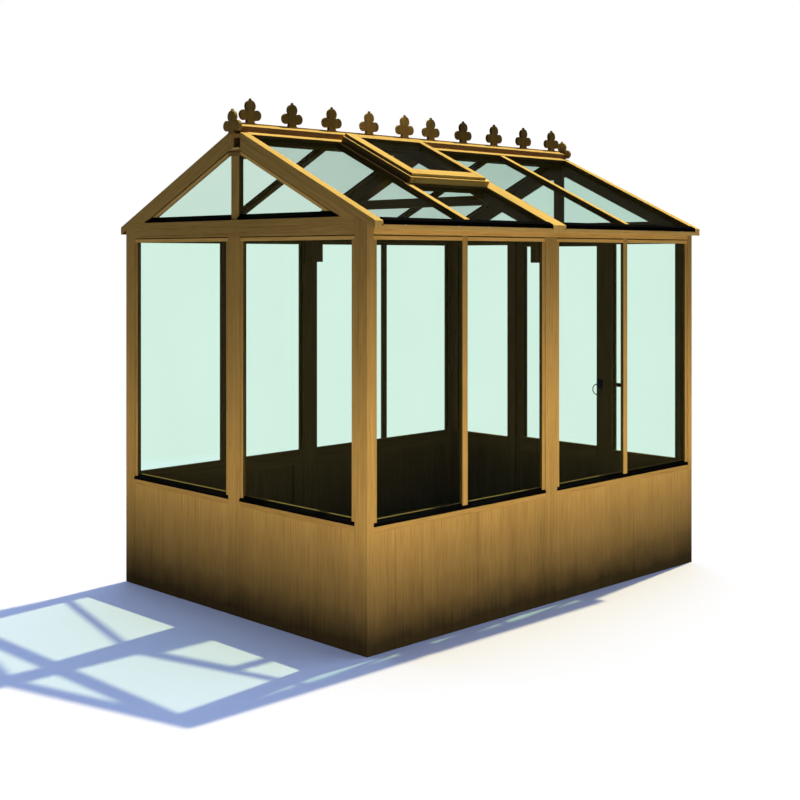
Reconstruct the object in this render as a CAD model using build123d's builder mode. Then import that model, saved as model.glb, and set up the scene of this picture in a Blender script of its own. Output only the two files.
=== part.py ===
from build123d import *
from math import cos, radians, sin, tan
import os

# Glass greenhouse in timber, 8 ft by 6 ft, in millimetres.
# The origin is the middle of the footprint on the ground. Z is up and the ridge runs along Y.
# The plain gable faces -Y and the door is in the gable at +Y.

# Overall size
width = 1830.0
length = 2440.0
roof_pitch = 25.0
eaves_overhang = 50.0

# Wall timber
wall_thickness = 34.0
corner_gable_face = 87.0
corner_side_face = 48.0
mullion_width = 104.0
side_bar_width = 34.0
side_bar_setback = 4.0
side_bar_depth = 19.0

# Heights in the walls
sill_top = 566.0
window_head = 1765.0
side_rail_height = 44.8
gable_rail_height = 79.0

# Glazing
glass_thickness = 4.0
glass_depth = 15.0
glass_clearance = 2.0
rebate = 8.0
bead_projection = 13.0
bead_setback = 4.0
strip_height = 26.0
strip_nose = 9.0
strip_proud = 4.0
fit_gap = 0.3

# Dwarf wall
framing_stile = 70.0
sill_rail_height = 86.0
foot_rail_height = 90.0
outer_rail_height = 24.0

# Gable triangles
raked_rail_depth = 50.0
king_post_width = 60.0
king_post_setback = 7.0
apex_slot_width = 94.0
apex_step = 14.0
apex_block_lap = 30.0

# Roof
roof_thickness = 34.0
end_rafter_width = 48.0
centre_rafter_width = 52.0
roof_bar_width = 34.0
roof_bar_setback = 3.0
groove_depth = 8.0
groove_play = 0.25
groove_reserve = 2.0
top_rail_edge = 65.0
eaves_rail_width = 68.0
eaves_rail_nose = 10.0
eaves_strip_width = 24.0

# Ridge
capping_half_width = 37.0
capping_thickness = 26.7
crest_thickness = 16.0
crest_plinth = 6.0
crest_end_gap = 6.0
finial_inner_inset = 99.0
finial_end_inset = 95.0
finials_per_board = 5
end_finial_drop = 28.0

# Finial outline
lobe_radius = 25.0
lobe_offset = 37.0
lobe_height = 38.0
top_lobe_radius = 28.5
top_lobe_height = 80.5
finial_height = 118.0
finial_tip_half = 16.0
finial_neck = 44.0
finial_flare = 8.0

# Roof truss
truss_width = 82.0
truss_rafter_depth = 44.0
collar_drop = 253.0
collar_height = 47.0
leg_depth = 64.0
leg_drop = 115.0

# Roof vent, measured along the slope and along the ridge
vent_top = 66.0
vent_bottom = 587.0
vent_bar_lap = 20.0
vent_rear_setback = 15.0
kerb_overhang = 9.0
kerb_rafter_lap = 8.0
kerb_height = 28.0
kerb_thickness = 30.0
trimmer_width = 34.0
sash_lip_thickness = 3.0
sash_lip = 4.0
sash_thickness = 14.0
sash_front_stile = 62.0
sash_rear_stile = 42.0
sash_head = 47.0
sash_foot = 65.0

# Door
door_opening = 672.0
door_post_width = 62.0
door_head_rise = 35.0
door_side_gap = 6.5
door_head_gap = 6.0
door_floor_gap = 12.0
door_proud = 10.0
door_sill_rise = 10.0
door_stile = 47.5
door_top_rail = 39.5
door_foot_rail = 110.0
head_stop_lap = 12.0
head_stop_height = 36.0
head_stop_thickness = 14.0

# Door hinges
hinge_height = 80.0
hinge_plate = 3.0
hinge_leaf = 42.0
knuckle_radius = 6.0
knuckles = 3
pin_radius = 3.0
pin_clearance = 0.05
knuckle_play = 0.5
knuckle_relief = 1.0
hinge_foot_inset = 248.0
hinge_head_inset = 154.0

# Ring handle, latch bar and keep
handle_height = 938.0
handle_inset = 32.5
plate_width = 40.0
plate_height = 52.0
plate_rise = 4.0
plate_edge = 1.0
plate_thickness = 4.0
plate_corner = 5.0
spindle_radius = 4.0
ring_radius = 30.0
ring_wire = 3.0
ring_sides = 6
ring_standoff = 16.0
latch_bar_height = 22.0
latch_bar_thickness = 6.0
latch_bar_end = 436.0
keep_width = 34.0
keep_gap = 5.0
keep_thickness = 4.0
keep_reach = 26.0
keep_rise = 44.0

slope_tan = tan(radians(roof_pitch))
slope_cos = cos(radians(roof_pitch))
slope_sin = sin(radians(roof_pitch))
half_width = width / 2
half_length = length / 2
glass_back = glass_depth + glass_thickness
bead_width = rebate + bead_projection
gable_edge = half_width - corner_gable_face
side_edge = half_length - corner_side_face
mullion_half = mullion_width / 2
bar_centre = half_length / 2
bar_half = side_bar_width / 2
strip_bottom = sill_top - strip_height
sill_rail_bottom = sill_top - sill_rail_height
head_rebate = window_head + rebate
gable_strip_bottom = head_rebate + gable_rail_height
gable_sill = gable_strip_bottom + strip_height
eaves_x = half_width + eaves_overhang
apex_height = head_rebate + side_rail_height + half_width * slope_tan + roof_thickness / slope_cos
raked_lip = roof_thickness + raked_rail_depth
raked_rebate = raked_lip - rebate
raked_bead = raked_rebate + bead_width
slot_half = apex_slot_width / 2
king_half = king_post_width / 2
post_inner = door_opening / 2
post_outer = post_inner + door_post_width
leaf_half = post_inner - door_side_gap
door_head = window_head + door_head_rise
leaf_top = door_head - door_head_gap
leaf_face = half_length + door_proud
handle_x = leaf_half - handle_inset
rafter_inner = half_length - end_rafter_width


def front(depth):
    """Y of the front gable at a depth behind its outer face."""
    return depth - half_length


def right(depth):
    """X of the right wall at a depth behind its outer face."""
    return half_width - depth


def rear(depth):
    """Y of the rear gable at a depth behind its outer face."""
    return half_length - depth


def leaf(depth):
    """Y of the door leaf at a depth behind its outer face."""
    return leaf_face - depth


def roof_z(x, depth=0.0):
    """Height of the roof at x, at a depth square to the slope below its top face."""
    return apex_height - abs(x) * slope_tan - depth / slope_cos


def roof_x(z, depth):
    """X at which the roof's depth line comes down to the height z."""
    return (apex_height - depth / slope_cos - z) / slope_tan


def strip_slope(depth):
    """Height of a sill strip's sloping top above its underside."""
    run = (depth + strip_proud) / (glass_depth + strip_proud)
    return strip_nose + run * (strip_height - strip_nose)


def upright(x_from, x_to, y_from, y_to, z_from, z_to):
    """Extrude a rectangle in plan between two heights."""
    with BuildSketch(Plane.XY.offset(z_from)) as plan:
        with Locations(((x_from + x_to) / 2, (y_from + y_to) / 2)):
            Rectangle(x_to - x_from, y_to - y_from)
    extrude(plan.sketch, amount=z_to - z_from)


def along_y(points, y_from, y_to, mode=Mode.ADD):
    """Extrude an outline drawn in X and Z from one Y to another."""
    with BuildSketch(Plane.XZ.offset(-y_to)) as section:
        with BuildLine():
            Polyline(*points, close=True)
        make_face()
    extrude(section.sketch, amount=y_to - y_from, mode=mode)


def along_x(points, x_from, x_to, mode=Mode.ADD):
    """Extrude an outline drawn in Y and Z from one X to another."""
    with BuildSketch(Plane.YZ.offset(x_from)) as section:
        with BuildLine():
            Polyline(*points, close=True)
        make_face()
    extrude(section.sketch, amount=x_to - x_from, mode=mode)


def roof_strip(x_from, x_to, depth_from, depth_to):
    """Outline of a roof piece in X and Z, with plumb ends, between two depths below the top."""
    return [
        (x_from, roof_z(x_from, depth_from)),
        (x_to, roof_z(x_to, depth_from)),
        (x_to, roof_z(x_to, depth_to)),
        (x_from, roof_z(x_from, depth_to)),
    ]


def sill_strip(face, inward, bottom):
    """Section of a sill strip as (across, height), with a face position and an inward sign."""
    return [
        (face - inward * strip_proud, bottom),
        (face - inward * strip_proud, bottom + strip_nose),
        (face + inward * glass_depth, bottom + strip_height),
        (face + inward * glass_depth, bottom),
    ]


def jamb_section(face, inward, sill, top):
    """Section of a jamb bead that stands on the slope of a sill strip."""
    return [
        (face + inward * bead_setback, sill + strip_slope(bead_setback)),
        (face + inward * bead_setback, top),
        (face + inward * glass_depth, top),
        (face + inward * glass_depth, sill + strip_height),
    ]


def pane_beads(x_from, x_to, face, inward, sill, head):
    """Two jamb beads and a head bead round a pane in a gable or in the door."""
    jamb = jamb_section(face, inward, sill, head - bead_width - fit_gap)
    along_x(jamb, x_from, x_from + bead_width)
    along_x(jamb, x_to - bead_width, x_to)
    near = face + inward * bead_setback
    far = face + inward * glass_depth
    upright(x_from, x_to, min(near, far), max(near, far), head - bead_width, head)


def glass_groove(x_from, x_to):
    """Outline of the groove that takes the edge of the roof glass."""
    return roof_strip(x_from, x_to, glass_depth - groove_play, glass_back + groove_play)


def finial(plane, foot):
    """Trefoil finial with a flared foot and a pointed top lobe, its foot at a height on the plane."""
    neck_half = finial_neck / 2
    foot_half = neck_half + finial_flare
    neck_foot = foot + finial_flare
    top_lobe = foot + top_lobe_height
    with BuildSketch(plane) as outline:
        with Locations((-lobe_offset, foot + lobe_height), (lobe_offset, foot + lobe_height)):
            Circle(lobe_radius)
        with Locations((0, top_lobe)):
            Circle(top_lobe_radius)
        with BuildLine():
            Polyline(
                (finial_tip_half, top_lobe),
                (0, foot + finial_height),
                (-finial_tip_half, top_lobe),
                close=True,
            )
        make_face()
        with BuildLine():
            Line((-foot_half, foot), (foot_half, foot))
            RadiusArc((foot_half, foot), (neck_half, neck_foot), finial_flare)
            Polyline(
                (neck_half, neck_foot),
                (neck_half, top_lobe),
                (-neck_half, top_lobe),
                (-neck_half, neck_foot),
            )
            RadiusArc((-neck_half, neck_foot), (-foot_half, foot), finial_flare)
        make_face()
    return outline.sketch


# Corner posts: L-shaped, rebated for the glass on both faces and cut to the roof's slope
with BuildPart() as corner_posts:
    with BuildSketch(Plane.XY):
        with BuildLine():
            Polyline(
                (half_width, front(0)),
                (gable_edge + rebate, front(0)),
                (gable_edge + rebate, front(glass_back)),
                (gable_edge, front(glass_back)),
                (gable_edge, front(wall_thickness)),
                (right(wall_thickness), front(wall_thickness)),
                (right(wall_thickness), -side_edge),
                (right(glass_back), -side_edge),
                (right(glass_back), -side_edge - rebate),
                (half_width, -side_edge - rebate),
                close=True,
            )
        make_face()
    extrude(amount=apex_height)
    above_roof = [
        (gable_edge, roof_z(gable_edge, roof_thickness)),
        (half_width, roof_z(half_width, roof_thickness)),
        (half_width, apex_height),
        (gable_edge, apex_height),
    ]
    along_y(above_roof, -half_length, half_length, Mode.SUBTRACT)
    mirror(about=Plane.XZ)
    mirror(about=Plane.YZ)

# Front mullion, from the ground to the gable head rail
with BuildPart() as front_mullion:
    upright(-mullion_half + rebate, mullion_half - rebate, front(0), front(glass_back), 0, head_rebate)
    upright(-mullion_half, mullion_half, front(glass_back), front(wall_thickness), 0, window_head)

# Door posts
with BuildPart() as door_posts:
    upright(post_inner, post_outer - rebate, rear(glass_back), rear(0), 0, head_rebate)
    upright(post_inner, post_outer, rear(wall_thickness), rear(glass_back), 0, window_head)
    mirror(about=Plane.YZ)

# Posts in the middle of each long wall
with BuildPart() as side_centre_posts:
    upright(right(glass_back), right(0), -mullion_half + rebate, mullion_half - rebate, 0, head_rebate)
    upright(right(wall_thickness), right(glass_back), -mullion_half, mullion_half, 0, window_head)
    mirror(about=Plane.YZ)



def dwarf_bays(bottom, top):
    """Fill the rebates of the dwarf walls between two heights, flush with the posts' faces."""
    upright(mullion_half - rebate, gable_edge + rebate, front(0), front(glass_back), bottom, top)
    upright(post_outer - rebate, gable_edge + rebate, rear(glass_back), rear(0), bottom, top)
    for y_from, y_to in (
        (mullion_half - rebate, side_edge + rebate),
        (-side_edge - rebate, -mullion_half + rebate),
    ):
        upright(right(glass_back), right(0), y_from, y_to, bottom, top)
    mirror(about=Plane.YZ)


# Dwarf walls: boards, and over them a slim flush rail under the sill strips
with BuildPart() as dwarf_boards:
    dwarf_bays(0, strip_bottom - outer_rail_height)

with BuildPart() as dwarf_top_rails:
    dwarf_bays(strip_bottom - outer_rail_height, strip_bottom)

# Framing behind the boards, with the panels between the rails left recessed
with BuildPart() as dwarf_framing:
    for x_from, near, far in (
        (mullion_half, front(glass_back), front(wall_thickness)),
        (post_outer, rear(wall_thickness), rear(glass_back)),
    ):
        for rail_bottom, rail_top in ((0, foot_rail_height), (sill_rail_bottom, sill_top)):
            upright(x_from, gable_edge, near, far, rail_bottom, rail_top)
        for stile_x in (x_from, gable_edge - framing_stile):
            upright(stile_x, stile_x + framing_stile, near, far, foot_rail_height, sill_rail_bottom)
    for y_from, y_to in ((mullion_half, side_edge), (-side_edge, -mullion_half)):
        for rail_bottom, rail_top in ((0, foot_rail_height), (sill_rail_bottom, sill_top)):
            upright(right(wall_thickness), right(glass_back), y_from, y_to, rail_bottom, rail_top)
        for stile_y in (y_from, y_to - framing_stile):
            upright(
                right(wall_thickness), right(glass_back), stile_y, stile_y + framing_stile,
                foot_rail_height, sill_rail_bottom,
            )
    mirror(about=Plane.YZ)

# Head rails of the gables, with a lip behind the triangles' glass
lip_outline = [
    (-roof_x(gable_strip_bottom, raked_lip), gable_strip_bottom),
    (roof_x(gable_strip_bottom, raked_lip), gable_strip_bottom),
    (roof_x(gable_sill, raked_lip), gable_sill),
    (-roof_x(gable_sill, raked_lip), gable_sill),
]
with BuildPart() as gable_head_rails:
    upright(
        -gable_edge - rebate, gable_edge + rebate, front(0), front(glass_back),
        head_rebate, gable_strip_bottom,
    )
    upright(
        -gable_edge, gable_edge, front(glass_back), front(wall_thickness),
        window_head, gable_strip_bottom,
    )
    along_y(lip_outline, front(glass_back), front(wall_thickness))
    mirror(about=Plane.XZ)
    over_door = [
        (-post_inner, 0),
        (post_inner, 0),
        (post_inner, door_head),
        (-post_inner, door_head),
    ]
    along_y(over_door, rear(wall_thickness), rear(0), Mode.SUBTRACT)

# Raked rails of the gables, up to the slot at the apex
with BuildPart() as raked_rails:
    outer_outline = [
        (slot_half, roof_z(slot_half, roof_thickness)),
        (gable_edge + rebate, roof_z(gable_edge + rebate, roof_thickness)),
        (gable_edge + rebate, gable_strip_bottom),
        (roof_x(gable_strip_bottom, raked_rebate), gable_strip_bottom),
        (slot_half, roof_z(slot_half, raked_rebate)),
    ]
    along_y(outer_outline, front(0), front(glass_back))
    inner_outline = [
        (slot_half, roof_z(slot_half, roof_thickness)),
        (gable_edge, roof_z(gable_edge, roof_thickness)),
        (gable_edge, gable_strip_bottom),
        (roof_x(gable_strip_bottom, raked_lip), gable_strip_bottom),
        (slot_half, roof_z(slot_half, raked_lip)),
    ]
    along_y(inner_outline, front(glass_back), front(wall_thickness))
    mirror(about=Plane.XZ)
    mirror(about=Plane.YZ)

# King posts in the gable triangles, with a step under the slot at the apex and a block behind it
with BuildPart() as king_posts:
    upright(
        -king_half, king_half, front(king_post_setback), front(glass_depth),
        gable_strip_bottom, roof_z(slot_half, raked_bead),
    )
    upright(
        -king_half, king_half, front(glass_depth), front(glass_back),
        gable_strip_bottom, roof_z(slot_half, raked_rebate),
    )
    upright(
        -king_half, king_half, front(glass_back), front(wall_thickness),
        gable_sill, roof_z(slot_half, raked_lip),
    )
    block_half = slot_half - fit_gap
    step_top = roof_z(slot_half, raked_rebate) + apex_step
    upright(
        -block_half, block_half, front(0), front(glass_back),
        roof_z(slot_half, raked_rebate), step_top,
    )
    upright(
        -block_half, block_half, front(glass_back), front(wall_thickness),
        roof_z(slot_half, raked_lip), step_top,
    )
    block_bottom = roof_z(slot_half, raked_lip) - apex_block_lap
    apex_block = [
        (-block_half, block_bottom),
        (block_half, block_bottom),
        (block_half, roof_z(block_half)),
        (0, roof_z(0)),
        (-block_half, roof_z(block_half)),
    ]
    along_y(apex_block, front(wall_thickness), front(end_rafter_width))
    mirror(about=Plane.XZ)

# Head rails of the long walls, cut to the roof's slope
with BuildPart() as side_head_rails:
    outer_head = [
        (right(glass_back), head_rebate),
        (right(0), head_rebate),
        (right(0), roof_z(right(0), roof_thickness)),
        (right(glass_back), roof_z(right(glass_back), roof_thickness)),
    ]
    along_y(outer_head, -side_edge - rebate, side_edge + rebate)
    inner_head = [
        (right(wall_thickness), window_head),
        (right(glass_back), window_head),
        (right(glass_back), roof_z(right(glass_back), roof_thickness)),
        (right(wall_thickness), roof_z(right(wall_thickness), roof_thickness)),
    ]
    along_y(inner_head, -side_edge, side_edge)
    mirror(about=Plane.YZ)

# Glazing bars of the long walls, standing on the slope of the sill strips
with BuildPart() as side_glazing_bars:
    bar_front = [
        (right(side_bar_setback), strip_bottom + strip_slope(side_bar_setback)),
        (right(side_bar_setback), head_rebate),
        (right(glass_back), head_rebate),
        (right(glass_back), sill_top),
        (right(glass_depth), sill_top),
    ]
    along_y(bar_front, bar_centre - bar_half, bar_centre + bar_half)
    upright(
        right(side_bar_setback + side_bar_depth), right(glass_back),
        bar_centre - bar_half, bar_centre + bar_half, sill_top, window_head,
    )
    mirror(about=Plane.XZ)
    mirror(about=Plane.YZ)

# Sill strips under the panes of the walls and of the gable triangles
with BuildPart() as sill_strips:
    front_section = sill_strip(front(0), 1, strip_bottom)
    along_x(front_section, mullion_half - rebate, gable_edge + rebate)
    rear_section = sill_strip(rear(0), -1, strip_bottom)
    along_x(rear_section, post_outer - rebate, gable_edge + rebate)
    side_section = sill_strip(right(0), -1, strip_bottom)
    along_y(side_section, mullion_half - rebate, bar_centre - fit_gap / 2)
    along_y(side_section, bar_centre + fit_gap / 2, side_edge + rebate)
    along_y(side_section, -bar_centre + fit_gap / 2, -mullion_half + rebate)
    along_y(side_section, -side_edge - rebate, -bar_centre - fit_gap / 2)
    triangle_end = roof_x(gable_strip_bottom, raked_rebate)
    above_strip = [
        (triangle_end, gable_strip_bottom),
        (roof_x(gable_sill, raked_rebate), gable_sill),
        (triangle_end, gable_sill),
    ]
    for section, y_from, y_to in (
        (sill_strip(front(0), 1, gable_strip_bottom), front(-strip_proud), front(glass_depth)),
        (sill_strip(rear(0), -1, gable_strip_bottom), rear(glass_depth), rear(-strip_proud)),
    ):
        along_x(section, king_half, triangle_end)
        along_y(above_strip, y_from, y_to, Mode.SUBTRACT)
    mirror(about=Plane.YZ)

# Beads that hold the panes
with BuildPart() as gable_beads:
    pane_beads(mullion_half - rebate, gable_edge + rebate, front(0), 1, strip_bottom, head_rebate)
    raked_bead_outline = [
        (slot_half + fit_gap, roof_z(slot_half + fit_gap, raked_rebate)),
        (roof_x(gable_sill, raked_rebate), gable_sill),
        (roof_x(gable_sill, raked_bead), gable_sill),
        (slot_half + fit_gap, roof_z(slot_half + fit_gap, raked_bead)),
    ]
    along_y(raked_bead_outline, front(bead_setback), front(glass_depth))
    pane_beads(post_outer - rebate, gable_edge + rebate, rear(0), -1, strip_bottom, head_rebate)
    along_y(raked_bead_outline, rear(glass_depth), rear(bead_setback))
    mirror(about=Plane.YZ)
    for near, far in (
        (front(bead_setback), front(glass_depth)),
        (rear(glass_depth), rear(bead_setback)),
    ):
        upright(
            -slot_half, slot_half, near, far,
            roof_z(slot_half, raked_bead), roof_z(slot_half, raked_rebate),
        )

with BuildPart() as side_beads:
    side_jamb = jamb_section(right(0), -1, strip_bottom, head_rebate - bead_width - fit_gap)
    along_y(side_jamb, mullion_half - rebate, mullion_half - rebate + bead_width)
    along_y(side_jamb, side_edge + rebate - bead_width, side_edge + rebate)
    for y_from, y_to in (
        (mullion_half - rebate, bar_centre - bar_half),
        (bar_centre + bar_half, side_edge + rebate),
    ):
        upright(
            right(glass_depth), right(bead_setback), y_from, y_to,
            head_rebate - bead_width, head_rebate,
        )
    mirror(about=Plane.XZ)
    mirror(about=Plane.YZ)

# Panes of the gables
pane_foot = gable_strip_bottom + glass_clearance
pane_head = roof_z(slot_half, raked_rebate + glass_clearance)
triangle_pane = [
    (king_half + fit_gap, pane_foot),
    (roof_x(gable_strip_bottom, raked_rebate) - glass_clearance / slope_sin, pane_foot),
    (slot_half, pane_head),
    (king_half + fit_gap, pane_head),
]
with BuildPart() as gable_glass:
    for x_from, near, far in (
        (mullion_half - rebate, front(glass_depth), front(glass_back)),
        (post_outer - rebate, rear(glass_back), rear(glass_depth)),
    ):
        upright(
            x_from + glass_clearance, gable_edge + rebate - glass_clearance, near, far,
            strip_bottom + glass_clearance, head_rebate - glass_clearance,
        )
        along_y(triangle_pane, near, far)
    mirror(about=Plane.YZ)

# Panes of the long walls
with BuildPart() as side_glass:
    for y_from, y_to in (
        (mullion_half - rebate + glass_clearance, bar_centre - bar_half - fit_gap),
        (bar_centre + bar_half + fit_gap, side_edge + rebate - glass_clearance),
    ):
        upright(
            right(glass_back), right(glass_depth), y_from, y_to,
            strip_bottom + glass_clearance, head_rebate - glass_clearance,
        )
    mirror(about=Plane.XZ)
    mirror(about=Plane.YZ)

# Roof rafters, grooved for the glass, with a plumb cut at the eaves
with BuildPart() as roof_rafters:
    along_y(roof_strip(slot_half, eaves_x, 0, roof_thickness), rafter_inner, half_length)
    along_y(roof_strip(fit_gap / 2, eaves_x, 0, roof_thickness), fit_gap / 2, centre_rafter_width)
    for y_from, y_to in (
        (rafter_inner, rafter_inner + groove_depth),
        (centre_rafter_width - groove_depth, centre_rafter_width),
    ):
        along_y(glass_groove(top_rail_edge - groove_depth, eaves_x), y_from, y_to, Mode.SUBTRACT)
    mirror(about=Plane.XZ)
    mirror(about=Plane.YZ)

# Places of the vent, along the ridge and along the slope
vent_front = -bar_centre + vent_bar_lap
vent_rear = -centre_rafter_width - vent_rear_setback
kerb_bottom = vent_bottom + kerb_overhang
kerb_front = vent_front - kerb_overhang
kerb_rear = -centre_rafter_width + kerb_rafter_lap
trimmer_bottom_x = kerb_bottom * slope_cos
trimmer_top_x = trimmer_bottom_x - trimmer_width * slope_cos
bar_inner_face = -bar_centre + roof_bar_width / 2
eaves_rail_x = eaves_x - eaves_rail_width
eaves_nose_x = eaves_x - eaves_rail_nose
eaves_strip_x = eaves_x - eaves_strip_width


# Roof rails: top rails that meet at the ridge, bottom rails under the lower edge of the glass
# with a nose in front of it, and the trimmer that carries the vent's kerb
with BuildPart() as roof_rails:
    along_y(
        roof_strip(fit_gap / 2, top_rail_edge, 0, roof_thickness), centre_rafter_width, rafter_inner
    )
    along_y(
        glass_groove(top_rail_edge - groove_depth, top_rail_edge),
        centre_rafter_width, rafter_inner, Mode.SUBTRACT,
    )
    along_y(
        roof_strip(eaves_rail_x, eaves_x, glass_back, roof_thickness), centre_rafter_width, rafter_inner
    )
    along_y(
        roof_strip(eaves_nose_x, eaves_x, glass_depth, glass_back), centre_rafter_width, rafter_inner
    )
    mirror(about=Plane.XZ)
    mirror(about=Plane.YZ)
    along_y(
        roof_strip(trimmer_top_x, trimmer_bottom_x, 0, roof_thickness),
        bar_inner_face, -centre_rafter_width,
    )
    along_y(
        glass_groove(trimmer_bottom_x - groove_depth, trimmer_bottom_x),
        bar_inner_face, -centre_rafter_width, Mode.SUBTRACT,
    )

# Roof glazing bars, grooved on both sides
with BuildPart() as roof_glazing_bars:
    bar_outline = [
        (top_rail_edge, roof_z(top_rail_edge, roof_bar_setback)),
        (eaves_strip_x, roof_z(eaves_strip_x, roof_bar_setback)),
        (eaves_strip_x, roof_z(eaves_strip_x, glass_back)),
        (eaves_rail_x, roof_z(eaves_rail_x, glass_back)),
        (eaves_rail_x, roof_z(eaves_rail_x, roof_thickness)),
        (top_rail_edge, roof_z(top_rail_edge, roof_thickness)),
    ]
    along_y(bar_outline, bar_centre - roof_bar_width / 2, bar_centre + roof_bar_width / 2)
    for y_from in (bar_centre - roof_bar_width / 2, bar_centre + roof_bar_width / 2 - groove_depth):
        along_y(
            glass_groove(top_rail_edge, eaves_strip_x), y_from, y_from + groove_depth, Mode.SUBTRACT
        )
    mirror(about=Plane.XZ)
    mirror(about=Plane.YZ)

# Strips over the lower edge of the roof glass
with BuildPart() as eaves_strips:
    eaves_outline = [
        (eaves_strip_x, roof_z(eaves_strip_x, -strip_proud)),
        (eaves_x + strip_proud, roof_z(eaves_x + strip_proud, -strip_proud)),
        (eaves_x + strip_proud, roof_z(eaves_x, glass_depth)),
        (eaves_x, roof_z(eaves_x, glass_depth)),
        (eaves_strip_x, roof_z(eaves_strip_x, glass_depth)),
    ]
    along_y(eaves_outline, centre_rafter_width, bar_centre - fit_gap / 2)
    along_y(eaves_outline, bar_centre + fit_gap / 2, rafter_inner)
    mirror(about=Plane.XZ)
    mirror(about=Plane.YZ)

# Vent in the front half of the right slope
roof_plane = Plane(
    origin=(0, 0, apex_height), x_dir=(slope_cos, 0, -slope_sin), z_dir=(slope_sin, 0, slope_cos)
)


def on_slope(s_from, s_to, y_from, y_to, height_from, height_to):
    """Extrude a rectangle on the right slope between two heights above the roof's top face."""
    with BuildSketch(roof_plane.offset(height_from)) as plan:
        with Locations(((s_from + s_to) / 2, (y_from + y_to) / 2)):
            Rectangle(s_to - s_from, y_to - y_from)
    extrude(plan.sketch, amount=height_to - height_from)


with BuildPart() as vent_kerb:
    on_slope(vent_top, kerb_bottom, kerb_front, kerb_front + kerb_thickness, 0, kerb_height)
    on_slope(vent_top, kerb_bottom, kerb_rear - kerb_thickness, kerb_rear, 0, kerb_height)
    for s_from, s_to in (
        (vent_top, vent_top + kerb_thickness),
        (kerb_bottom - kerb_thickness, kerb_bottom),
    ):
        on_slope(
            s_from, s_to, kerb_front + kerb_thickness + fit_gap,
            kerb_rear - kerb_thickness - fit_gap, 0, kerb_height,
        )

sash_base = kerb_height + sash_lip_thickness
sash_top = sash_base + sash_thickness
with BuildPart() as vent_sash:
    for y_outer, y_inner, lip_outer in (
        (vent_front, vent_front + sash_front_stile, kerb_front - sash_lip),
        (vent_rear, vent_rear - sash_rear_stile, kerb_rear + sash_lip),
    ):
        on_slope(
            vent_top, vent_bottom, min(y_outer, y_inner), max(y_outer, y_inner), sash_base, sash_top
        )
        on_slope(
            vent_top, kerb_bottom + sash_lip, min(lip_outer, y_inner), max(lip_outer, y_inner),
            kerb_height, sash_base,
        )
    inner_front = vent_front + sash_front_stile + fit_gap
    inner_rear = vent_rear - sash_rear_stile - fit_gap
    on_slope(vent_top, vent_top + sash_head, inner_front, inner_rear, kerb_height, sash_top)
    on_slope(vent_bottom - sash_foot, vent_bottom, inner_front, inner_rear, sash_base, sash_top)
    on_slope(
        vent_bottom - sash_foot, kerb_bottom + sash_lip, inner_front, inner_rear,
        kerb_height, sash_base,
    )

with BuildPart() as vent_glass:
    on_slope(
        vent_top + sash_head + fit_gap, vent_bottom - sash_foot - fit_gap,
        inner_front, inner_rear, sash_base - fit_gap, sash_base - fit_gap + glass_thickness,
    )

# Roof panes lie in the grooves
glass_in_groove = groove_depth - groove_reserve
near_centre = (
    centre_rafter_width - glass_in_groove,
    bar_centre - roof_bar_width / 2 + glass_in_groove,
)
near_end = (bar_centre + roof_bar_width / 2 - glass_in_groove, rafter_inner + glass_in_groove)
full_pane = roof_strip(
    top_rail_edge - glass_in_groove, eaves_nose_x - fit_gap, glass_depth, glass_back
)
with BuildPart() as roof_glass:
    for y_from, y_to in (near_centre, near_end):
        along_y(full_pane, y_from, y_to)
    mirror(about=Plane.XZ)
    mirror(about=Plane.YZ)
    under_vent = roof_strip(0, trimmer_bottom_x - glass_in_groove, 0, roof_thickness)
    along_y(under_vent, -near_centre[1], -near_centre[0], Mode.SUBTRACT)

# Saddle capping over the ridge, with a flat for the cresting
crest_half = crest_thickness / 2
capping_top = apex_height + capping_thickness
crest_base = capping_top - crest_half * slope_tan
with BuildPart() as ridge_capping:
    saddle = [
        (-capping_half_width, roof_z(capping_half_width)),
        (-capping_half_width, roof_z(capping_half_width) + capping_thickness),
        (-crest_half, crest_base),
        (crest_half, crest_base),
        (capping_half_width, roof_z(capping_half_width) + capping_thickness),
        (capping_half_width, roof_z(capping_half_width)),
        (0, apex_height),
    ]
    along_y(saddle, -half_length, half_length)

# Cresting: two boards along the ridge, each with a row of trefoil finials
with BuildPart() as crest_boards:
    upright(
        -crest_half, crest_half, fit_gap / 2, half_length - crest_end_gap,
        crest_base, crest_base + crest_plinth,
    )
    mirror(about=Plane.XZ)

finial_run = half_length - finial_inner_inset - finial_end_inset
finial_spacing = finial_run / (finials_per_board - 1)
with BuildPart() as ridge_finials:
    for i in range(finials_per_board):
        finial_y = finial_inner_inset + i * finial_spacing
        finial_plane = Plane(origin=(-crest_half, finial_y, 0), x_dir=(0, 1, 0), z_dir=(1, 0, 0))
        extrude(finial(finial_plane, crest_base + crest_plinth), amount=crest_thickness)
    mirror(about=Plane.XZ)

# Finials planted on the ends of the capping
with BuildPart() as end_finials:
    end_plane = Plane.XZ.offset(-half_length - crest_thickness)
    extrude(finial(end_plane, apex_height - end_finial_drop), amount=crest_thickness)
    mirror(about=Plane.XZ)

# Roof truss across the middle: rafters, collar tie and legs on the centre posts
with BuildPart() as truss_rafters:
    along_y(
        roof_strip(
            fit_gap / 2, right(wall_thickness), roof_thickness, roof_thickness + truss_rafter_depth
        ),
        -truss_width / 2,
        truss_width / 2,
    )
    mirror(about=Plane.YZ)

truss_underside = roof_thickness + truss_rafter_depth
collar_bottom = roof_z(0, truss_underside) - collar_drop
with BuildPart() as collar_tie:
    collar_outline = [
        (-roof_x(collar_bottom, truss_underside), collar_bottom),
        (roof_x(collar_bottom, truss_underside), collar_bottom),
        (roof_x(collar_bottom + collar_height, truss_underside), collar_bottom + collar_height),
        (-roof_x(collar_bottom + collar_height, truss_underside), collar_bottom + collar_height),
    ]
    along_y(collar_outline, -truss_width / 2, truss_width / 2)

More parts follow.
